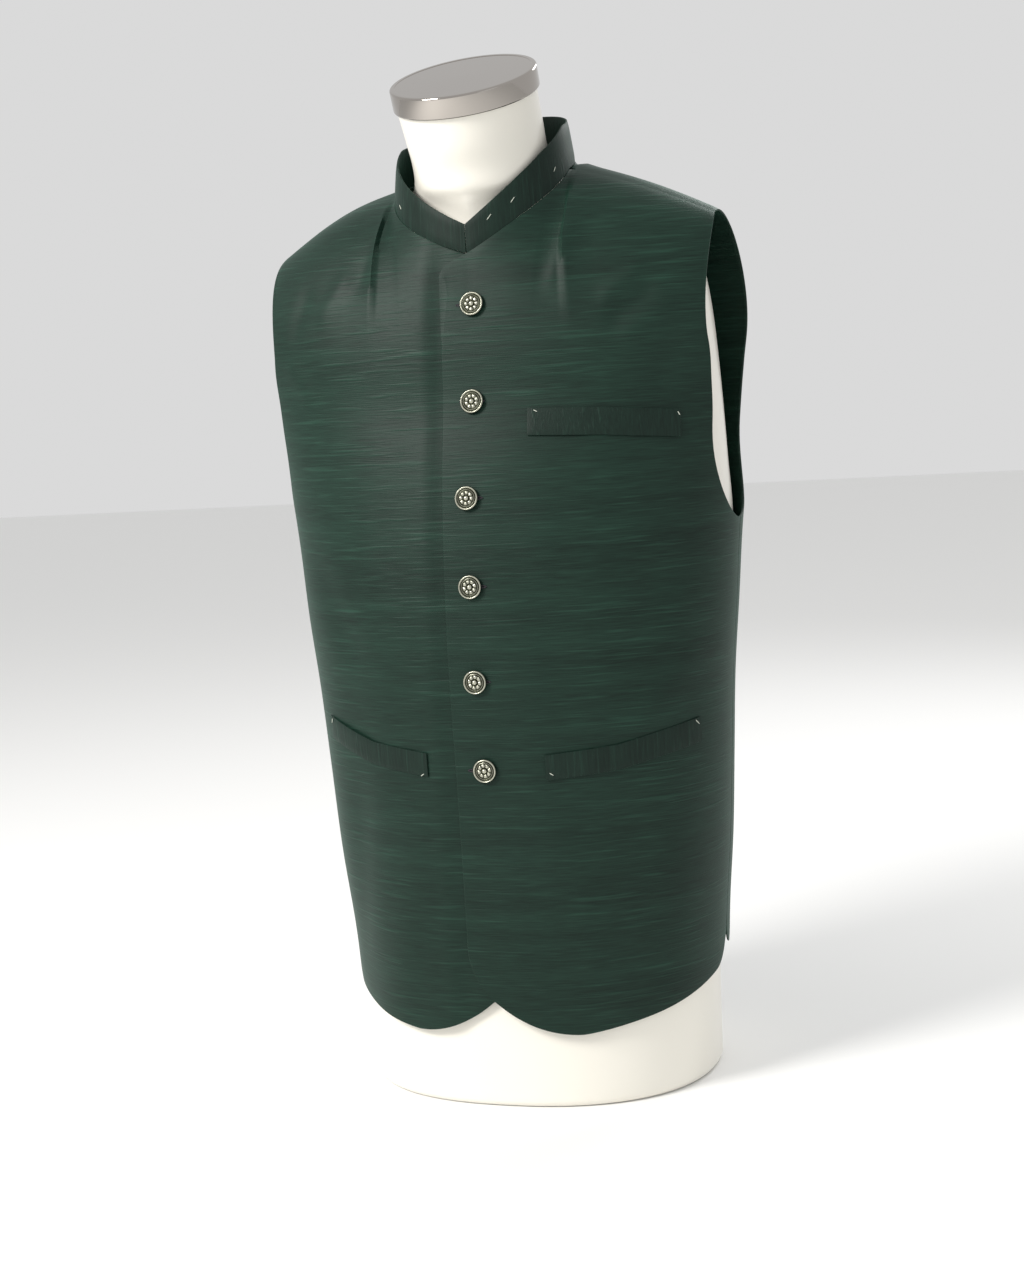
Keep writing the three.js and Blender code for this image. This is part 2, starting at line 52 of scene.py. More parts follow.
# Each trunk section: drop, front, half, side, back, front power, back power.
trunkRows = np.array([
    [60, 101, 240, 14, 100, 2.15, 2.3], [80, 104, 232, 12, 106, 2.15, 2.3],
    [120, 109, 218, 9, 114, 2.15, 2.3], [170, 121, 205, 5, 119, 2.15, 2.3],
    [230, 131, 196, 2, 116, 2.15, 2.3], [300, 137, 190, 0, 106, 2.15, 2.25],
    [360, 138, 184, 0, 101, 2.15, 2.2], [430, 137, 179, 0, 105, 2.15, 2.2],
    [500, 137, 174, 0, 112, 2.15, 2.2], [570, 138, 167, 0, 116, 2.15, 2.2],
    [660, 139, 162, 0, 118, 2.15, 2.2]], float)
# Drop, and how far the armhole's front and back edges lie from the side seam.
armRows = np.array([[60, 76, 56], [100, 66, 60], [150, 58, 60], [230, 54, 54]], float)


# Shared maths.
def mix(a, b, t):
    return a + (b - a) * t


def clamp(t):
    return np.clip(t, 0, 1)


def unit(v):
    return v / np.maximum(np.linalg.norm(v, axis=-1, keepdims=True), 1e-9)


def signedPower(value, power):
    return np.sign(value) * np.abs(value) ** power


def quarter(steps):
    return np.linspace(0, halfTurn, steps + 1)


def fullTurn(steps):
    return np.linspace(0, 2 * math.pi, steps, endpoint=False)


def points(x, y, z):
    x, y, z = np.broadcast_arrays(x, y, z)
    return np.stack([x, y, z], axis=-1).astype(float)


# Cubic between a and b that leaves with slopeA and arrives with slopeB.
def hermite(a, b, slopeA, slopeB, t):
    return ((1 + 2 * t) * (1 - t) ** 2 * a + t * (1 - t) ** 2 * slopeA
            + t * t * (3 - 2 * t) * b + t * t * (t - 1) * slopeB)


# Smooth value of a table's column where its first column equals at: a cubic between each two rows.
def readTable(rows, column, at):
    keys, values = rows[:, 0], rows[:, column]
    order = np.arange(len(keys))
    before, after = np.maximum(order - 1, 0), np.minimum(order + 1, len(keys) - 1)
    slopes = (values[after] - values[before]) / (keys[after] - keys[before])
    i = np.clip(np.searchsorted(keys, at, side="right") - 1, 0, len(keys) - 2)
    step = keys[i + 1] - keys[i]
    t = clamp((at - keys[i]) / step)
    return hermite(values[i], values[i + 1], step * slopes[i], step * slopes[i + 1], t)


# The jacket's outer face. Front, half, side, back and one side's power of the section at a drop.
def trunkSection(drop, isFront):
    return [readTable(trunkRows, column, drop) for column in (1, 2, 3, 4, 5 if isFront else 6)]


# Superellipse: x is half * sin^(2/power), and y leaves the side line by cos^(2/power).
def trunkPoint(angle, drop, isFront):
    front, half, side, back, power = trunkSection(drop, isFront)
    out = np.abs(np.cos(angle)) ** (2 / power)
    y = side - (front + side) * out if isFront else side + (back - side) * out
    return points(half * signedPower(np.sin(angle), 2 / power), y, neckHeight - drop)


# Angle of a row's outer end: a quarter turn at the side seam, or where the section is the
# armhole's reach from the side line, a reach that closes to 0 as a quarter ellipse.
def rowEnd(drop, isFront):
    front, _, side, back, power = trunkSection(drop, isFront)
    depth = front + side if isFront else back - side
    k = clamp((drop - armhole["turn"]) / (armhole["bottom"] - armhole["turn"]))
    reach = readTable(armRows, 1 if isFront else 2, drop) * np.sqrt(1 - k * k)
    return np.where(drop >= armhole["bottom"], halfTurn, np.arccos(clamp(reach / depth) ** (power / 2)))


# Front angles run evenly by share, from the overlap's edge to the row's end.
def frontRow(drop, share):
    _, half, _, _, power = trunkSection(drop, True)
    start = -np.arcsin((cloth["overlap"] / half) ** (power / 2))
    return trunkPoint(mix(start, rowEnd(drop, True), share), drop, True)


# Back angles run evenly by share, from one row end at -1 to the other at 1.
def backRow(drop, share):
    return trunkPoint(rowEnd(drop, False) * share, drop, False)


# Neck seam from 0 at the centre front to a half turn at the centre back: x is half * sin^0.88,
# y runs by the cosine from the side to the front or back, and the seam rises all the way.
def neckPoint(angle):
    s, c = np.abs(np.sin(angle)), np.abs(np.cos(angle))
    past = clamp(angle / halfTurn - 1)
    isFront = angle <= halfTurn
    y = np.where(isFront, mix(neck["sideY"], neck["frontY"], c),
                 mix(neck["sideY"], neck["backY"], c ** 0.85))
    rise = np.where(isFront, neck["sideRise"] * clamp(angle / halfTurn),
                    mix(neck["sideRise"], neck["backRise"], np.sin(past * halfTurn) ** 0.9))
    return points(neck["half"] * s ** 0.88, y, neckHeight + rise)


# Straight from the neck's side to the shoulder tip, lifted by crown * sin(pi t).
def shoulderPoint(t, crown):
    start = neckPoint(np.array(halfTurn)) + np.array([0, 6, 0])
    p = mix(start, tipPoint, t[..., None])
    p[..., 2] += crown * np.sin(math.pi * t)
    return p


# The neck moves to the wearer's right and the left side rises, by a smooth step w in height.
def settle(p):
    lean = {"across": 4, "rise": 4, "reach": 60, "start": 90, "over": 110}
    w = clamp((p[..., 2] - (neckHeight - lean["start"])) / lean["over"])
    w = w * w * (3 - 2 * w)
    out = np.abs(p[..., 0])
    shift = clamp(out / neck["half"]) * clamp((tipPoint[0] - out) / (tipPoint[0] - neck["half"]))
    lift = lean["rise"] * np.tanh(p[..., 0] / lean["reach"]) * w
    return p + points(-lean["across"] * w * shift, 0, lift)


# Columns rise as a cubic from the last trunk row to the top edge, softened as the mean of a
# short stretch, and t^5 brings the edge's own corners back at the top.
def yokePoint(row, edge, slope, share, t, reach, lowest):
    drop = np.full_like(share, cloth["yokeDrop"])
    bottom = row(drop, share)
    up = unit(row(drop - 4, share) - row(drop + 4, share))
    top = edge(share)
    soft = np.mean([edge(np.clip(share + d, lowest, 1)) for d in np.linspace(-0.1, 0.1, 7)], axis=0)
    isEnd = ((share > 1 - 1e-9) | (share < lowest + 1e-9))[..., None]
    soft = np.where(isEnd, top, soft)
    length = np.linalg.norm(top - bottom, axis=-1, keepdims=True)
    t = t[..., None]
    curve = hermite(bottom, soft, up * length * reach[0], slope(share) * length * reach[1], t)
    return curve + (top - soft) * t ** 5


# Drops of the rows between the hem's zone and the yoke, closer together round the armhole's foot.
hemZoneTop = 540
trunkDrops = np.concatenate([
    np.linspace(hemZoneTop, armhole["bottom"], 58)[1:-1],
    armhole["turn"] + (armhole["bottom"] - armhole["turn"]) * np.cos(quarter(18)),
    np.linspace(armhole["turn"], cloth["yokeDrop"], 16)[1:-1]])


# A panel's outer face: rows from the hem to the top edge, columns by share of the width.
def panelGrid(shares, hemDrop, row, yoke, hemSteps, yokeSteps):
    w, hemColumns = np.meshgrid(np.linspace(0, 1, hemSteps + 1), shares, indexing="ij")
    drops, columns = np.meshgrid(trunkDrops, shares, indexing="ij")
    rise, yokeColumns = np.meshgrid(np.linspace(0, 1, yokeSteps + 1), shares, indexing="ij")
    hem = row(mix(hemDrop(hemColumns), hemZoneTop, w), hemColumns)
    return np.concatenate([hem, row(drops, columns), yoke(yokeColumns, rise)])


# Outward directions, across the columns times up the rows.
def gridNormals(grid):
    return unit(np.cross(np.gradient(grid, axis=1), np.gradient(grid, axis=0)))


# Each row is x and drop at both ends of a line, a width and a height, below zero for a trough.
# It adds height * exp(-(distance / width)^2) along the normal, and fades towards the line's ends.
def creased(grid, normals, rows):
    depth = np.zeros(grid.shape[:2])
    for x0, drop0, x1, drop1, width, height in rows:
        line = np.array([x1 - x0, drop0 - drop1])
        rel = np.stack([grid[..., 0] - x0, grid[..., 2] - (neckHeight - drop0)], axis=-1)
        along = rel @ line / (line @ line)
        away = np.linalg.norm(rel - clamp(along)[..., None] * line, axis=-1)
        ends = np.exp(-np.maximum(0, np.abs(along - 0.5) - 0.3) ** 2 * 14)
        depth += height * np.exp(-(away / width) ** 2) * ends
    return grid + normals * depth[..., None]


# Two sines across the panel that drift with the fall, stronger towards the hem and the sides.
def waved(grid, normals, reach):
    x, fall = grid[..., 0], neckHeight - grid[..., 2]
    strength = clamp((fall - 90) / 400) * clamp((np.abs(x) - 25) / 50) * reach
    wave = np.sin(x / 17.0 + 0.9 * np.sin(fall / 95.0)) + 0.6 * np.sin(x / 9.7 + fall / 130.0 + 1.3)
    return grid + normals * (strength * wave)[..., None]


rim = {"press": 0.35, "nextPress": 0.3, "bulge": 0.12}   # millimetres, share of it, share of the thickness


# A closed wall: the outer grid, an inner copy moved in along the normals, and a rim between
# whose middle line stands out a little and whose edges are pressed in.
def wallParts(grid, thick, press=rim["press"]):
    normals = gridNormals(grid)
    rows, cols = grid.shape[:2]
    edge = np.zeros((rows, cols))
    edge[0] = edge[-1] = edge[:, 0] = edge[:, -1] = press
    edge[1, 1:-1] = edge[-2, 1:-1] = edge[1:-1, 1] = edge[1:-1, -2] = press * rim["nextPress"]
    outer = grid - normals * edge[..., None]
    inner = grid - normals * (thick - edge)[..., None]
    away = np.zeros_like(grid)
    away[0] += unit(grid[0] - grid[1])
    away[-1] += unit(grid[-1] - grid[-2])
    away[:, 0] += unit(grid[:, 0] - grid[:, 1])
    away[:, -1] += unit(grid[:, -1] - grid[:, -2])
    middle = (outer + inner) / 2 + unit(away) * thick * rim["bulge"]
    ids = np.arange(rows * cols).reshape(rows, cols)
    loop = np.concatenate([ids[0, :-1], ids[:-1, -1], ids[-1, :0:-1], ids[:0:-1, 0]])
    verts = np.concatenate([outer.reshape(-1, 3), inner.reshape(-1, 3), middle.reshape(-1, 3)[loop]])
    outside = np.stack([ids[:-1, :-1], ids[:-1, 1:], ids[1:, 1:], ids[1:, :-1]], axis=-1).reshape(-1, 4)
    inside = outside[:, ::-1] + rows * cols
    nextOne = np.roll(loop, -1)
    line = 2 * rows * cols + np.arange(len(loop))
    nextLine = np.roll(line, -1)
    upper = np.stack([nextOne, loop, line, nextLine], axis=-1)
    lower = np.stack([nextLine, line, loop + rows * cols, nextOne + rows * cols], axis=-1)
    return verts, [np.concatenate([outside, inside, upper, lower])]


# A grid whose columns close on themselves, with a fan round the middle of each end row.
def tubeParts(grid):
    rows, cols = grid.shape[:2]
    ids = np.arange(rows * cols).reshape(rows, cols)
    right = np.roll(ids, -1, axis=1)
    quads = np.stack([ids[:-1], right[:-1], right[1:], ids[1:]], axis=-1).reshape(-1, 4)
    verts = np.concatenate([grid.reshape(-1, 3), grid[0].mean(0)[None], grid[-1].mean(0)[None]])
    low, high = np.full(cols, rows * cols), np.full(cols, rows * cols + 1)
    first = np.stack([right[0], ids[0], low], axis=-1)
    last = np.stack([ids[-1], right[-1], high], axis=-1)
    return verts, [quads, np.concatenate([first, last])]


# A grid that closes on itself both ways.
def ringParts(grid):
    ids = np.arange(grid.shape[0] * grid.shape[1]).reshape(grid.shape[:2])
    right = np.roll(ids, -1, axis=1)
    quads = np.stack([ids, right, np.roll(right, -1, axis=0), np.roll(ids, -1, axis=0)], axis=-1)
    return grid.reshape(-1, 3), [quads.reshape(-1, 4)]


def joined(parts):
    offset, verts, faceSets = 0, [], []
    for partVerts, partSets in parts:
        verts.append(partVerts)
        faceSets += [faceSet + offset for faceSet in partSets]
        offset += len(partVerts)
    return np.concatenate(verts), faceSets


def buildPiece(name, parts, material, sharp=50):
    verts, faceSets = parts
    faces = [face for faceSet in faceSets for face in faceSet.tolist()]
    mesh = bpy.data.meshes.new(name)
    mesh.from_pydata(((verts + [0, depthShift, 0]) * 0.001).tolist(), [], faces)
    mesh.update()
    mesh.shade_smooth()
    mesh.set_sharp_from_angle(angle=math.radians(sharp))
    mesh.materials.append(material)
    piece = bpy.data.objects.new(name, mesh)
    bpy.context.scene.collection.objects.link(piece)
    return piece


def finishPiece(piece, node):
    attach(piece, "root")
    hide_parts(node)
    return piece


def newMaterial(name):
    material = bpy.data.materials.new(name)
    material.use_nodes = True
    return material, material.node_tree.nodes, material.node_tree.links


# Slub yarn: fine streaks, rarer thick slubs and a slow drift, as a tone and a height.
def slubGroup():
    group = bpy.data.node_groups.new("slubYarn", "ShaderNodeTree")
    group.interface.new_socket("Vector", in_out="INPUT", socket_type="NodeSocketVector")
    for name in ("Tone", "Height"):
        group.interface.new_socket(name, in_out="OUTPUT", socket_type="NodeSocketFloat")
    nodes, links = group.nodes, group.links
    enter, leave = nodes.new("NodeGroupInput"), nodes.new("NodeGroupOutput")

    def noise(scale, detail):
        node = nodes.new("ShaderNodeTexNoise")
        node.inputs["Scale"].default_value = scale
        node.inputs["Detail"].default_value = detail
        links.new(enter.outputs["Vector"], node.inputs["Vector"])
        return node.outputs["Fac"]

    def remap(value, low, high, outLow, outHigh):
        node = nodes.new("ShaderNodeMapRange")
        for key, number in (("From Min", low), ("From Max", high), ("To Min", outLow), ("To Max", outHigh)):
            node.inputs[key].default_value = number
        links.new(value, node.inputs["Value"])
        return node.outputs["Result"]

    def add(a, b):
        node = nodes.new("ShaderNodeMath")
        node.operation = "ADD"
        links.new(a, node.inputs[0])
        links.new(b, node.inputs[1])
        return node.outputs[0]

    fine, slub, drift = noise(1.0, 3), noise(0.34, 2), noise(0.06, 2)
    tone = add(remap(fine, 0.3, 0.7, 0.12, 0.5), remap(slub, 0.56, 0.75, 0.0, 0.55))
    tone = add(tone, remap(drift, 0.3, 0.7, -0.12, 0.12))
    links.new(tone, leave.inputs["Tone"])
    links.new(add(remap(fine, 0.2, 0.8, 0, 0.5), remap(slub, 0.55, 0.75, 0, 0.8)), leave.inputs["Height"])
    return group


slubYarn = slubGroup()


# The stretch is the noise's scale on each axis, largest across the yarn.
def silkMaterial(name, dark, light, stretch, relief):
    material, nodes, links = newMaterial(name)
    shader = nodes["Principled BSDF"]
    coords, mapping = nodes.new("ShaderNodeTexCoord"), nodes.new("ShaderNodeMapping")
    mapping.inputs["Scale"].default_value = stretch
    links.new(coords.outputs["Object"], mapping.inputs["Vector"])
    yarn = nodes.new("ShaderNodeGroup")
    yarn.node_tree = slubYarn
    links.new(mapping.outputs["Vector"], yarn.inputs["Vector"])
    ramp = nodes.new("ShaderNodeMix")
    ramp.data_type = "RGBA"
    ramp.inputs[6].default_value = (*dark, 1)
    ramp.inputs[7].default_value = (*light, 1)
    links.new(yarn.outputs["Tone"], ramp.inputs[0])
    links.new(ramp.outputs[2], shader.inputs["Base Color"])
    bump = nodes.new("ShaderNodeBump")
    bump.inputs["Strength"].default_value = relief
    bump.inputs["Distance"].default_value = 0.0004
    links.new(yarn.outputs["Height"], bump.inputs["Height"])
    links.new(bump.outputs["Normal"], shader.inputs["Normal"])
    shader.inputs["Roughness"].default_value = 0.5
    shader.inputs["Specular IOR Level"].default_value = 0.2
    shader.inputs["Sheen Weight"].default_value = 0.1
    shader.inputs["Sheen Roughness"].default_value = 0.4
    shader.inputs["Sheen Tint"].default_value = (0.3, 0.75, 0.55, 1)
    return material


def plainMaterial(name, colour, roughness, metallic=0.0, coat=0.0):
    material, nodes, _ = newMaterial(name)
    shader = nodes["Principled BSDF"]
    shader.inputs["Base Color"].default_value = (*colour, 1)
    shader.inputs["Roughness"].default_value = roughness
    shader.inputs["Metallic"].default_value = metallic
    shader.inputs["Coat Weight"].default_value = coat
    return material


# Silver whose recesses keep a dark olive tarnish, by the mesh's own polish attribute.
def antiqueMaterial(name, tarnish, silver):
    material, nodes, links = newMaterial(name)
    shader = nodes["Principled BSDF"]
    polish = nodes.new("ShaderNodeAttribute")
    polish.attribute_name = "polish"
    ramp = nodes.new("ShaderNodeValToRGB")
    for element, position, colour in zip(ramp.color_ramp.elements, (0.25, 0.9), (tarnish, silver)):
        element.position = position
        element.color = (*colour, 1)
    links.new(polish.outputs["Fac"], ramp.inputs["Fac"])
    links.new(ramp.outputs["Color"], shader.inputs["Base Color"])
    shader.inputs["Metallic"].default_value = 0.9
    shader.inputs["Roughness"].default_value = 0.3
    return material


silk = silkMaterial(
    "silk", dark=(0.0025, 0.0105, 0.0068), light=(0.013, 0.044, 0.029), stretch=(48, 48, 1250), relief=0.6)
silkTurned = silkMaterial(
    "silkTurned", dark=(0.0022, 0.0085, 0.0055), light=(0.009, 0.028, 0.019), stretch=(1150, 1150, 42), relief=0.4)
formWhite = plainMaterial("formWhite", (0.84, 0.81, 0.73), 0.28, coat=0.3)
chrome = plainMaterial("chrome", (0.42, 0.39, 0.36), 0.07, metallic=1.0)
paleThread = plainMaterial("paleThread", (0.55, 0.58, 0.5), 0.7)
darkThread = plainMaterial("darkThread", (0.02, 0.014, 0.022), 0.7)
antiqueSilver = antiqueMaterial("antiqueSilver", (0.03, 0.034, 0.02), (0.5, 0.5, 0.41))

print("form")
form = {"inset": 9, "footRadius": 6, "shoulder": 180, "power": 2.3, "levels": 190, "sides": 144,
        "drops": (610, 540, 470, 400, 340, 280, 230, 180, 130)}
# Each section above the trunk: rise, y, half, front, back, power, forward tilt in degrees.
formRows = np.array([
    [-80, 8, 180, 100, 88, 2.3, 0], [-50, 2, 179, 87, 86, 2.2, 0], [-28, -2, 177, 78, 83, 2.1, 0],
    [-10, -4, 174, 72, 79, 1.95, 0], [4, -5, 168, 68, 74, 1.8, 0], [14, -6, 158, 66, 69, 1.62, 0],
    [22, -7, 144, 65, 64, 1.48, 0], [30, -8, 127, 64, 58, 1.38, 1], [38, -10, 108, 64, 53, 1.34, 2],
    [46, -13, 88, 64, 48, 1.42, 4], [54, -18, 71, 62, 45, 1.65, 7], [64, -24, 61, 61, 45, 1.9, 11],
    [80, -34, 57, 57, 49, 2, 15], [102, -46, 57, 57, 54, 2, 19]], float)
cap = {"radius": 61, "thick": 18, "tilt": math.radians(22.6), "y": -67, "rise": 143, "bevel": 1.6,
       "sides": 144, "seatGap": 0.3, "seatInset": 3}
capAxis = np.array([0, -math.sin(cap["tilt"]), math.cos(cap["tilt"])])
capTop = np.array([0, cap["y"], neckHeight + cap["rise"]])


# The jacket's own section, set in, and little wider than the form's shoulders.
def trunkRing(z, inset):
    drop = min(neckHeight - z, trunkRows[-1, 0])
    front, half, side, back, _ = (float(value) for value in trunkSection(drop, True))
    widest = form["shoulder"] + 7 * float(clamp((neckHeight - z - 80) / 150))
    return [z, side, min(half - inset, widest), front + side - inset, back - side - inset, form["power"], 0]


# Rings from the round edge of the foot, up the trunk, to the cap's seat on the neck.
def formSections():
    radius, inset = form["footRadius"], form["inset"]
    foot = [trunkRing(radius * (1 - math.cos(a)), inset + radius * (1 - math.sin(a))) for a in quarter(6)]
    trunk = [trunkRing(neckHeight - drop, inset) for drop in form["drops"]]
    above = [[neckHeight + row[0], *row[1:]] for row in formRows]
    seat = capTop - capAxis * (cap["thick"] + cap["seatGap"])
    half = cap["radius"] - cap["seatInset"]
    depth = half * math.cos(cap["tilt"])
    end = [seat[2], seat[1], half, depth, depth, 2, math.degrees(cap["tilt"])]
    return np.array([*foot, *trunk, *above, end])


# Superellipse rings, each tilted: z rises by the tilt's tangent for each step back.
def formGrid(sections, levels, sides):
    footLevels = sections[:7, 0]
    z = np.concatenate([footLevels, np.linspace(footLevels[-1], sections[-1, 0], levels)[1:]])[:, None]
    y, half, front, back, power, tilt = (readTable(sections, column, z) for column in range(1, 7))
    a = fullTurn(sides)[None, :]
    along = -signedPower(np.cos(a), 2 / power)
    dy = along * np.where(along < 0, front, back)
    return points(half * signedPower(np.sin(a), 2 / power), y + dy, z + dy * np.tan(np.radians(tilt)))


formMesh = tubeParts(formGrid(formSections(), form["levels"], form["sides"]))
formPiece = finishPiece(buildPiece("dressForm", formMesh, formWhite), "form_torso")

print("cap")


# Radius and height of the cap's outline, up from its underside: two round edges, then a fine
# turned groove on the top.
def capOutline():
    radius, bevel, arc = cap["radius"], cap["bevel"], quarter(6)
    lower = np.stack(
        [radius - bevel * (1 - np.sin(arc)), -cap["thick"] + bevel * (1 - np.cos(arc))], axis=-1)
    upper = np.stack([radius - bevel * (1 - np.cos(arc)), -bevel * (1 - np.sin(arc))], axis=-1)
    groove = [[radius - 4, 0], [radius - 4.5, -0.4], [radius - 5.5, -0.4], [2, -0.1]]
    return np.concatenate([lower, upper, groove])


# Turns an outline of radius and height round an axis at a middle point.
def turnedGrid(outline, middle, sideways, forward, axis, sides):
    a = fullTurn(sides)[None, :, None]
    radius, height = outline[:, 0][:, None, None], outline[:, 1][:, None, None]
    return middle + radius * (np.cos(a) * sideways + np.sin(a) * forward) + height * axis


capSideways = np.array([1.0, 0, 0])
capMesh = tubeParts(
    turnedGrid(capOutline(), capTop, capSideways, np.cross(capAxis, capSideways), capAxis, cap["sides"]))
finishPiece(buildPiece("neckCap", capMesh, chrome, 30), "neck_cap")

print("fronts")
front = {"edgeDrop": 568, "cornerWidth": 85, "lowDrop": 641, "sideRise": 34, "ventRadius": 24, "length": 264,
         "neckShare": 0.42, "slope": {1: 0.3, -1: 0.1}, "wave": 0.7, "hemSteps": 20, "yokeSteps": 30}
edgeShare = cloth["overlap"] / front["length"]
leftCreases = [
    [118, 62, 150, 38, 7, -1.8], [128, 78, 165, 52, 7, 1.4], [112, 44, 140, 22, 6, 1.5],
    [150, 120, 172, 78, 10, -1.6], [70, 30, 84, -20, 6, 1.2], [150, 260, 120, 330, 16, -1.5],
    [170, 330, 120, 395, 14, 1.2], [60, 470, 90, 620, 18, 1.4], [120, 460, 135, 600, 16, -1.4],
    [30, 200, 60, 330, 20, -1.0]]
rightCreases = [
    [-84, -30, -100, 20, 9, -2.2], [-110, 10, -135, 45, 8, 1.6], [-150, 20, -165, 60, 8, -1.5],
    [-150, 110, -172, 80, 9, 1.4], [-150, 250, -110, 330, 16, -1.5], [-60, 450, -85, 610, 18, 1.3],
    [-120, 440, -140, 590, 16, -1.3], [-45, 120, -80, 240, 20, -1.0]]


# Round at the centre front, lowest beside it, rising by a power of 1.2 to a round vent corner.
def frontHemDrop(share):
    along = share * front["length"]
    corner = np.sqrt(1 - (1 - clamp(along / front["cornerWidth"])) ** 2)
    past = clamp((along - front["cornerWidth"]) / (front["length"] - front["cornerWidth"]))
    radius = front["ventRadius"]
    vent = np.maximum(0, along - (front["length"] - radius))
    low = front["edgeDrop"] + (front["lowDrop"] - front["edgeDrop"]) * corner
    return (low - front["sideRise"] * past ** 1.2
            - (radius - np.sqrt(np.maximum(0, radius ** 2 - vent ** 2))))


# Past the centre front the edge falls 9 mm and turns down by a quarter round of 7 mm more;
# then come the neck seam and the shoulder seam.
def frontTop(share, side):
    u = 1 - clamp(share / edgeShare)
    turn = 1 - np.sqrt(1 - clamp((u - 0.55) / 0.45) ** 2)
    fall = 9 * u + 7 * turn
    y = neck["frontY"] - front["slope"][side] * fall
    corner = points(-(cloth["overlap"] + 1) * u, y, neckHeight - fall)
    onNeck = neckPoint(clamp((share - edgeShare) / (front["neckShare"] - edgeShare)) * halfTurn)
    past = clamp((share - front["neckShare"]) / (1 - front["neckShare"]))
    onShoulder = shoulderPoint(past, seamCrown[side])
    top = np.where((share < front["neckShare"])[..., None], onNeck, onShoulder)
    return np.where((share < edgeShare)[..., None], corner, top)


# Direction in which a column arrives: nearly upright at the centre front, leaning back further
# by k^1.3 round the neck, and nearly level along the shoulder.
def frontTopSlope(share):
    k = clamp((share - edgeShare) / (front["neckShare"] - edgeShare)) ** 1.3
    s = clamp((share - front["neckShare"]) / (1 - front["neckShare"]))
    onNeck = share < front["neckShare"]
    return unit(points(np.where(onNeck, -0.05 * k, -0.05 - 0.1 * s),
                       np.where(onNeck, mix(0.22, 0.8, k), 0.88 + 0.05 * s),
                       np.where(onNeck, mix(0.97, 0.6, k), 0.4 - 0.05 * s)))


# Column shares, closer together on the round corners at the centre front and the vent.
def frontShares():
    ventStart = front["length"] - front["ventRadius"]
    along = np.concatenate([
        front["cornerWidth"] * (1 - np.cos(quarter(26))),
        np.linspace(front["cornerWidth"], ventStart, 34)[1:],
        ventStart + front["ventRadius"] * np.sin(quarter(9)[1:])])
    return along / front["length"]


# Side is 1 for the wearer's left. The right one is mirrored, and its columns turned round.
def frontGrid(side):
    def edge(share):
        return frontTop(share, side)

    def yoke(share, t):
        return yokePoint(frontRow, edge, frontTopSlope, share, t, (1, 1.05), 0)

    grid = panelGrid(frontShares(), frontHemDrop, frontRow, yoke, front["hemSteps"], front["yokeSteps"])
    grid = settle(grid * [side, 1, 1])
    return grid if side > 0 else grid[:, ::-1]


# The under front dips by the lap's room, on a straight ramp in x, where the other lies on it.
def lapped(grid, normals):
    ramp = clamp((cloth["lapStart"] + grid[..., 0]) / (cloth["lapStart"] - cloth["lapEnd"]))
    return grid - normals * (cloth["lapRoom"] * ramp)[..., None]


def wornFront(side, rows):
    grid = frontGrid(side)
    normals = gridNormals(grid)
    face = grid if side > 0 else lapped(grid, normals)
    return waved(creased(face, normals, rows), normals, front["wave"])


leftMesh = wallParts(wornFront(1, leftCreases), cloth["thick"])
leftPiece = finishPiece(buildPiece("frontLeft", leftMesh, silk), "front_left")
rightMesh = wallParts(wornFront(-1, rightCreases), cloth["thick"])
rightPiece = finishPiece(buildPiece("frontRight", rightMesh, silk), "front_right")

print("back")
back = {"drop": 600, "cornerRadius": 28, "length": 262, "neckShare": 0.36, "wave": 0.8,
        "hemSteps": 14, "yokeSteps": 34}
backCreases = [
    [-90, 60, -150, 110, 14, -1.8], [95, 55, 150, 105, 14, -1.8], [-20, 40, -8, 220, 18, 1.2],
    [30, 60, 22, 250, 18, -1.1], [-120, 260, -70, 340, 16, -1.6], [120, 270, 70, 345, 16, -1.6],
    [-60, 380, -75, 560, 18, 1.4], [70, 390, 85, 565, 18, 1.4], [0, 330, 6, 540, 16, -1.2]]


# Level, with a quarter round at each vent.
def backHemDrop(share):
    radius = back["cornerRadius"]
    past = np.maximum(0, np.abs(share) * back["length"] - (back["length"] - radius))
    return back["drop"] - (radius - np.sqrt(np.maximum(0, radius ** 2 - past ** 2)))


# The neck seam round the back of the neck, then the shoulder seam, on either side.
def backTop(share):
    out, side = np.abs(share), np.where(share < 0, -1, 1)
    onNeck = neckPoint(math.pi * (1 - np.minimum(out, back["neckShare"]) / back["neckShare"] / 2))
    crown = np.where(side > 0, seamCrown[1], seamCrown[-1])
    onShoulder = shoulderPoint(clamp((out - back["neckShare"]) / (1 - back["neckShare"])), crown)
    return np.where((out < back["neckShare"])[..., None], onNeck, onShoulder) * points(side, 1, 1)


# Direction in which a column arrives: up and forward at the centre back, over the top and a
# little down by k^2 at the neck's side and along the shoulder, and longer there.
def backTopSlope(share):
    k = clamp(np.abs(share) / back["neckShare"])
    s = clamp((np.abs(share) - back["neckShare"]) / (1 - back["neckShare"]))
    onNeck = np.abs(share) < back["neckShare"]
    length = np.where(onNeck, mix(1, 1.22, k), mix(1.22, 1.12, s))[..., None]
    return unit(points(np.where(onNeck, -0.05 * k, -0.05 * (1 - s)) * np.sign(share),
                       np.where(onNeck, mix(-0.45, -0.8, k * k), -0.9),
                       np.where(onNeck, mix(0.9, -0.3, k * k), 0.05 * s - 0.4))) * length


def backYoke(share, t):
    return yokePoint(backRow, backTop, backTopSlope, share, t, (1.15, 1), -1)


# Columns are turned round, so that the face looks back.
def backGrid():
    start = back["length"] - back["cornerRadius"]
    half = np.concatenate([np.linspace(0, start, 44), start + back["cornerRadius"] * np.sin(quarter(9)[1:])])
    half = half / back["length"]
    shares = np.concatenate([-half[:0:-1], half])
    grid = panelGrid(shares, backHemDrop, backRow, backYoke, back["hemSteps"], back["yokeSteps"])
    return settle(grid)[:, ::-1]


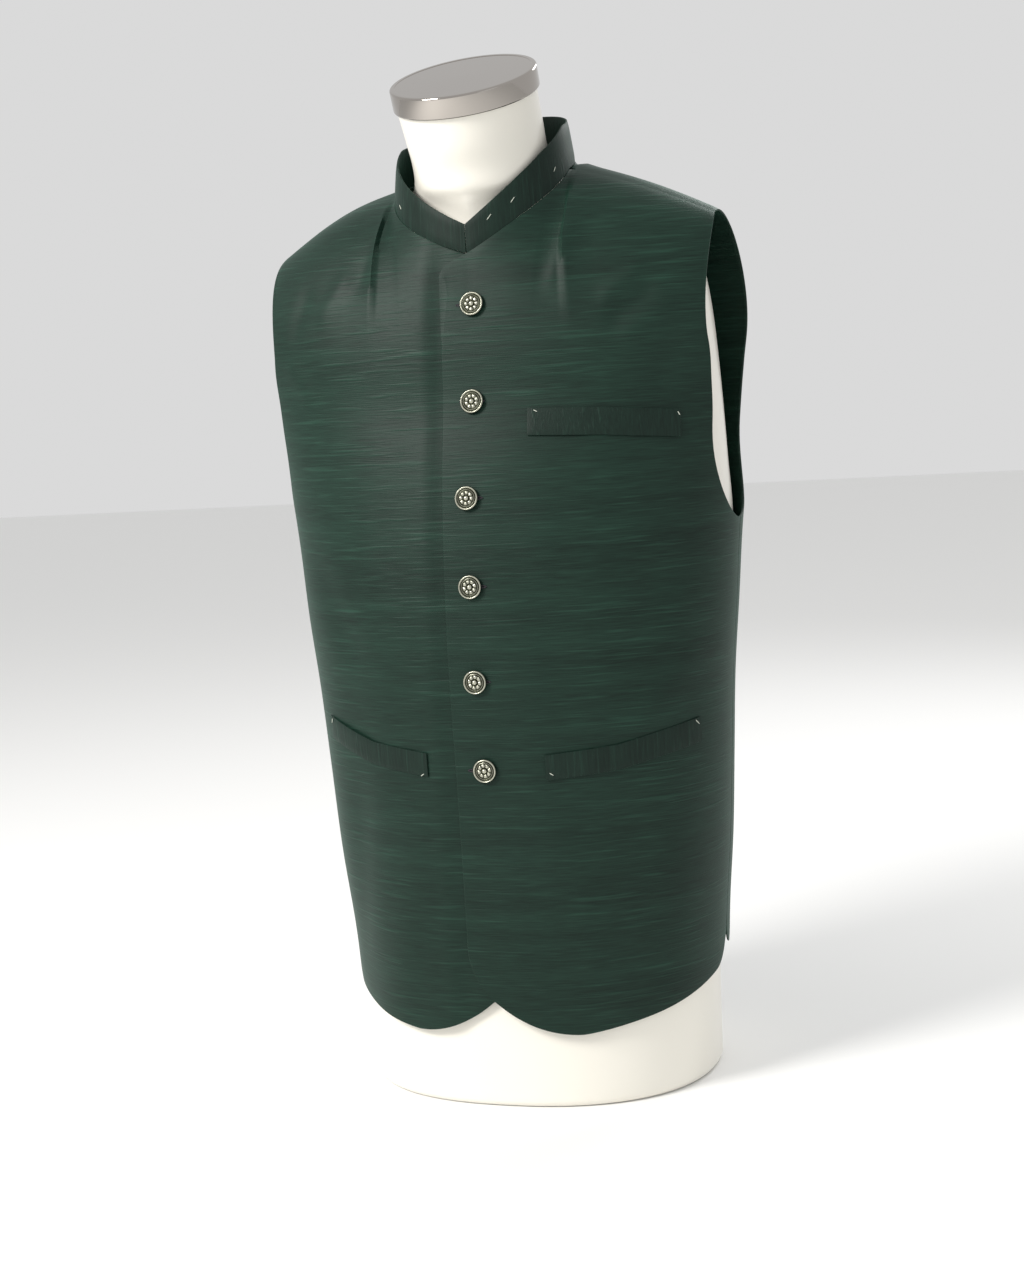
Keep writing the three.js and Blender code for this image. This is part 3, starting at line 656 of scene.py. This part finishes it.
backFace = backGrid()
backNormals = gridNormals(backFace)
backFace = waved(creased(backFace, backNormals, backCreases), backNormals, back["wave"])
backMesh = wallParts(backFace, cloth["thick"])
backPiece = finishPiece(buildPiece("backPanel", backMesh, silk), "back")

print("collar")
collar = {"front": 23, "height": 35, "lean": 0.14, "thick": 2.4, "press": 0.6, "seam": 0.25, "endGap": 0.35,
          "columns": 72, "rows": 10}


# A band up from the neck seam: it leans in by the share of the way to the side, and its height
# grows from the centre front by (1.6 * share)^0.8.
def collarPoint(angle, side, t):
    share = clamp(angle / halfTurn)
    height = mix(collar["front"], collar["height"], clamp(share * 1.6) ** 0.8)
    inward = collar["lean"] * share
    up = unit(points(-np.sin(angle) * inward, np.cos(angle) * inward, 1.0))
    p = neckPoint(angle) + up * mix(collar["seam"], height, t)[..., None]
    p[..., 0] = np.maximum(p[..., 0], collar["endGap"]) * side
    return settle(p)


# Round from the centre front by the wearer's left and back to it by the right.
def collarGrid():
    half = np.linspace(0, math.pi, collar["columns"])
    angles = np.concatenate([half, half[-2::-1]])
    sides = np.where(np.arange(len(angles)) < len(half), 1.0, -1.0)
    t, angle = np.meshgrid(np.linspace(0, 1, collar["rows"]), angles, indexing="ij")
    return collarPoint(angle, np.broadcast_to(sides, t.shape), t)


collarMesh = wallParts(collarGrid(), collar["thick"], collar["press"])
collarPiece = finishPiece(buildPiece("collarBand", collarMesh, silkTurned), "collar")

print("welts")
welt = {"thick": 1.6, "gap": 0.5, "press": 0.4, "columns": 48, "rows": 9}
# Each welt: side, inner and outer end, the top's drop at the inner end, middle and outer end, width.
weltRows = {
    "breast_welt": (1, 51, 167, 128, 131, 136.5, 21.5),
    "hip_welt_left": (1, 55, 166.5, 406.5, 401.5, 388, 20.5),
    "hip_welt_right": (-1, 46, 150, 404, 396.5, 379.5, 19.5)}


# The point of the trunk's front at a distance across and a drop.
def frontAt(x, drop):
    _, half, _, _, power = trunkSection(drop, True)
    angle = np.arcsin(clamp(np.abs(x) / half) ** (power / 2))
    return trunkPoint(angle, drop, True) * points(np.sign(x), 1, 1)


# The front's own surface under a strip whose top runs straight to its middle and on to its end.
def weltGrid(side, inner, outer, innerTop, middleTop, outerTop, width):
    down, along = np.linspace(1, 0, welt["rows"] + 1), np.linspace(0, 1, welt["columns"] + 1)
    w, t = np.meshgrid(down, along, indexing="ij")
    top = np.where(t < 0.5, mix(innerTop, middleTop, t * 2), mix(middleTop, outerTop, t * 2 - 1))
    grid = settle(frontAt(side * mix(inner, outer, t), top + width * w))
    grid = grid if side > 0 else grid[:, ::-1]
    return grid + gridNormals(grid) * (welt["gap"] + welt["thick"])


for node, row in weltRows.items():
    side, inner, outer, width = row[0], row[1], row[2], row[-1]
    weltMesh = wallParts(weltGrid(*row), welt["thick"], welt["press"])
    piece = finishPiece(buildPiece(node + "Strip", weltMesh, silkTurned), node)

print("buttons")
button = {"radius": 9.9, "rings": 46, "sides": 96, "petals": 8, "turn": 0.35, "face": 2.2, "gap": 0.5}
hole = {"reach": 10.5, "rise": 1.2, "thread": 0.6, "lift": 0.45, "base": 0.1,
        "shifts": (-3.5, -0.5, 2.5, 2.8, 2.0, -4.0)}


# Height of the face over its rim's foot: a rim and a ridge as bell curves round their radii,
# petals by |cos(4a)|^0.6 in a flat-topped ring, and a round bead.
def buttonFace(r, a):
    border = 1.2 * np.exp(-((r - 8.9) / 0.75) ** 2)
    ridge = 0.7 * np.exp(-((r - 6.9) / 0.4) ** 2)
    lobe = np.abs(np.cos(a * button["petals"] / 2)) ** 0.6
    petal = 0.95 * np.exp(-((r - 4.4) / 1.45) ** 4) * lobe
    bead = 1.9 * np.sqrt(np.maximum(0, 1 - (r / 2.1) ** 2))
    return border + ridge + petal + bead


# Where a button sits, from its own CAD node: its foot's middle, and the directions sideways,
# up and out, the last one being the direction in which its points spread least.
def buttonFrame(node):
    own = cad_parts[node].data
    co = np.empty(len(own.vertices) * 3)
    own.vertices.foreach_get("co", co)
    co = np.unique(np.round(co.reshape(-1, 3) * 1e6) * 1e-3, axis=0) - [0, depthShift, 0]
    middle = co.mean(0)
    out = np.linalg.svd(co - middle)[2][2]
    out = out * -np.sign(out[1])
    sideways = unit(np.cross([0, 0, 1.0], out))
    upward = np.cross(sideways, out)
    return middle + out * ((co - middle) @ out).min(), sideways, upward, out


# Rings up the shank, under the disc and over its face, and each point's polish by its height.
def rosetteParts(base, sideways, upward, out, turn):
    stem = {"radii": [2.6, 2.8, 9.2, 9.8, button["radius"]], "heights": [0, 1.3, 1.3, 1.6, button["face"]]}
    radii = np.concatenate([stem["radii"], np.linspace(button["radius"], 0.05, button["rings"])[1:]])
    radius, angle = np.meshgrid(radii, fullTurn(button["sides"]), indexing="ij")
    height = button["face"] + buttonFace(radius, angle + turn)
    height[:5] = np.array(stem["heights"])[:, None]
    across = np.cos(angle)[..., None] * sideways + np.sin(angle)[..., None] * upward
    grid = base + radius[..., None] * across + height[..., None] * out
    if np.dot(np.cross(sideways, upward), out) < 0:
        grid, height = grid[:, ::-1], height[:, ::-1]
    return tubeParts(grid), np.concatenate([clamp(height.ravel() - button["face"]), [0, 1]])


# A buttonhole's thread: a narrow oval ring of round section, flat on the cloth.
def holeGrid(base, sideways, upward, out, shift):
    s, t = np.meshgrid(fullTurn(8), fullTurn(48), indexing="ij")
    thread = hole["thread"] * np.cos(s)
    across = shift + (hole["reach"] + thread) * np.cos(t)
    rise = (hole["rise"] + thread) * np.sin(t)
    lift = hole["base"] - button["gap"] + hole["lift"] * np.sin(s)
    return base + across[..., None] * sideways + rise[..., None] * upward + lift[..., None] * out


holeParts = []
for i, shift in enumerate(hole["shifts"]):
    node = f"button_{i + 1}"
    place = buttonFrame(node)
    parts, polish = rosetteParts(*place, button["turn"] * i)
    piece = buildPiece(node + "Rosette", parts, antiqueSilver, 60)
    attribute = piece.data.attributes.new("polish", "FLOAT", "POINT")
    attribute.data.foreach_set("value", polish.astype(np.float32))
    finishPiece(piece, node)
    holeParts.append(ringParts(holeGrid(*place, shift)))
holes = buildPiece("buttonholes", joined(holeParts), darkThread)
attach(holes, "root")

print("stitches")
# Each welt tack: x and drop at both ends. Each collar tack: angle and t at both ends, and side.
weltTacks = [[56, 129.5, 59, 131], [165, 138, 166.5, 141], [164, 390, 166, 394], [58, 421, 61, 423],
             [-147, 382, -148.5, 386], [-49, 421, -52, 423]]
collarTacks = [[0.22, 0.55, 0.27, 0.62, 1], [0.5, 0.5, 0.55, 0.56, 1], [1.15, 0.35, 1.19, 0.42, 1],
               [0.85, 0.3, 0.9, 0.36, -1]]
tack = {"weltRadius": 0.35, "collarRadius": 0.3, "lift": 0.3}


# A thread from start to end, round in section, its radius by sin^0.5 from end to end.
def stitchParts(start, end, out, radius):
    axis = end - start
    sideways = unit(np.cross(axis, out))
    u = np.linspace(0, math.pi, 9)[:, None, None]
    a = fullTurn(8)[None, :, None]
    body = start + axis * (1 - np.cos(u)) / 2
    return tubeParts(body + np.sin(u) ** 0.5 * radius * (np.cos(a) * sideways + np.sin(a) * out))


stitches = []
for x0, drop0, x1, drop1 in weltTacks:
    ends = settle(frontAt(np.array([x0, x1], float), np.array([drop0, drop1], float)))
    out = unit(np.array([x0 * 0.004, -1.0, 0]))
    ends = ends + out * (welt["gap"] + welt["thick"] + tack["lift"])
    stitches.append(stitchParts(*ends, out, tack["weltRadius"]))
for angle0, t0, angle1, t1, side in collarTacks:
    ends = collarPoint(np.array([angle0, angle1]), side, np.array([t0, t1]))
    out = unit(np.array([side * math.sin(angle0), -math.cos(angle0), 0]))
    stitches.append(stitchParts(*(ends + out * tack["lift"]), out, tack["collarRadius"]))
tacks = buildPiece("tackStitches", joined(stitches), paleThread)
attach(tacks, "root")

print("stage")
scene = bpy.context.scene
scene.view_settings.view_transform = "Standard"

reach = 9
floorMesh = bpy.data.meshes.new("floor")
floorMesh.from_pydata(
    [(-reach, -reach, 0), (reach, -reach, 0), (reach, reach, 0), (-reach, reach, 0)], [], [(0, 1, 2, 3)])
floorMesh.materials.append(plainMaterial("floorPaint", (0.9, 0.9, 0.89), 0.8))
floor = bpy.data.objects.new("floor", floorMesh)
scene.collection.objects.link(floor)

world = bpy.data.worlds.new("studio")
world.use_nodes = True
world.node_tree.nodes["Background"].inputs["Color"].default_value = (1.0, 1.0, 1.0, 1)
world.node_tree.nodes["Background"].inputs["Strength"].default_value = 0.7
scene.world = world


def areaLight(name, place, aim, size, power, colour):
    data = bpy.data.lights.new(name, "AREA")
    data.shape = "DISK"
    data.size = size
    data.energy = power
    data.color = colour
    light = bpy.data.objects.new(name, data)
    scene.collection.objects.link(light)
    light.rotation_euler = (Vector(place) - Vector(aim)).to_track_quat("Z", "Y").to_euler()
    light.location = place


areaLight("key", (-1.3, -1.7, 1.9), (0, 0, 0.5), 0.9, 62, (1.0, 0.98, 0.95))
areaLight("fill", (1.6, -1.4, 1.0), (0, 0, 0.4), 1.2, 1, (0.9, 0.95, 1.0))
areaLight("back", (0.6, 1.8, 1.7), (0, 0, 0.5), 1.0, 14, (1.0, 1.0, 1.0))

# Angles in degrees, place in metres, lens and sensor in millimetres.
camera = {"azimuth": 18.9, "pitch": 7.0, "roll": -3.72, "lens": 59.06, "sensor": 36,
          "place": (0.577, -1.7078, 0.599)}
cameraData = bpy.data.cameras.new("camera")
cameraData.lens = camera["lens"]
cameraData.sensor_fit = "VERTICAL"
cameraData.sensor_height = camera["sensor"]
cameraObject = bpy.data.objects.new("camera", cameraData)
scene.collection.objects.link(cameraObject)
azimuth, pitch, roll = (math.radians(camera[key]) for key in ("azimuth", "pitch", "roll"))
level = np.array([-math.sin(azimuth), math.cos(azimuth), 0])
forward = level * math.cos(pitch) - np.array([0, 0, math.sin(pitch)])
right = np.array([math.cos(azimuth), math.sin(azimuth), 0])
up = np.cross(right, forward)
rolledRight = math.cos(roll) * right + math.sin(roll) * up
rolledUp = -math.sin(roll) * right + math.cos(roll) * up
turned = Matrix(np.stack([rolledRight, rolledUp, -forward], axis=1).tolist())
cameraObject.matrix_world = Matrix.Translation(camera["place"]) @ turned.to_4x4()
scene.camera = cameraObject
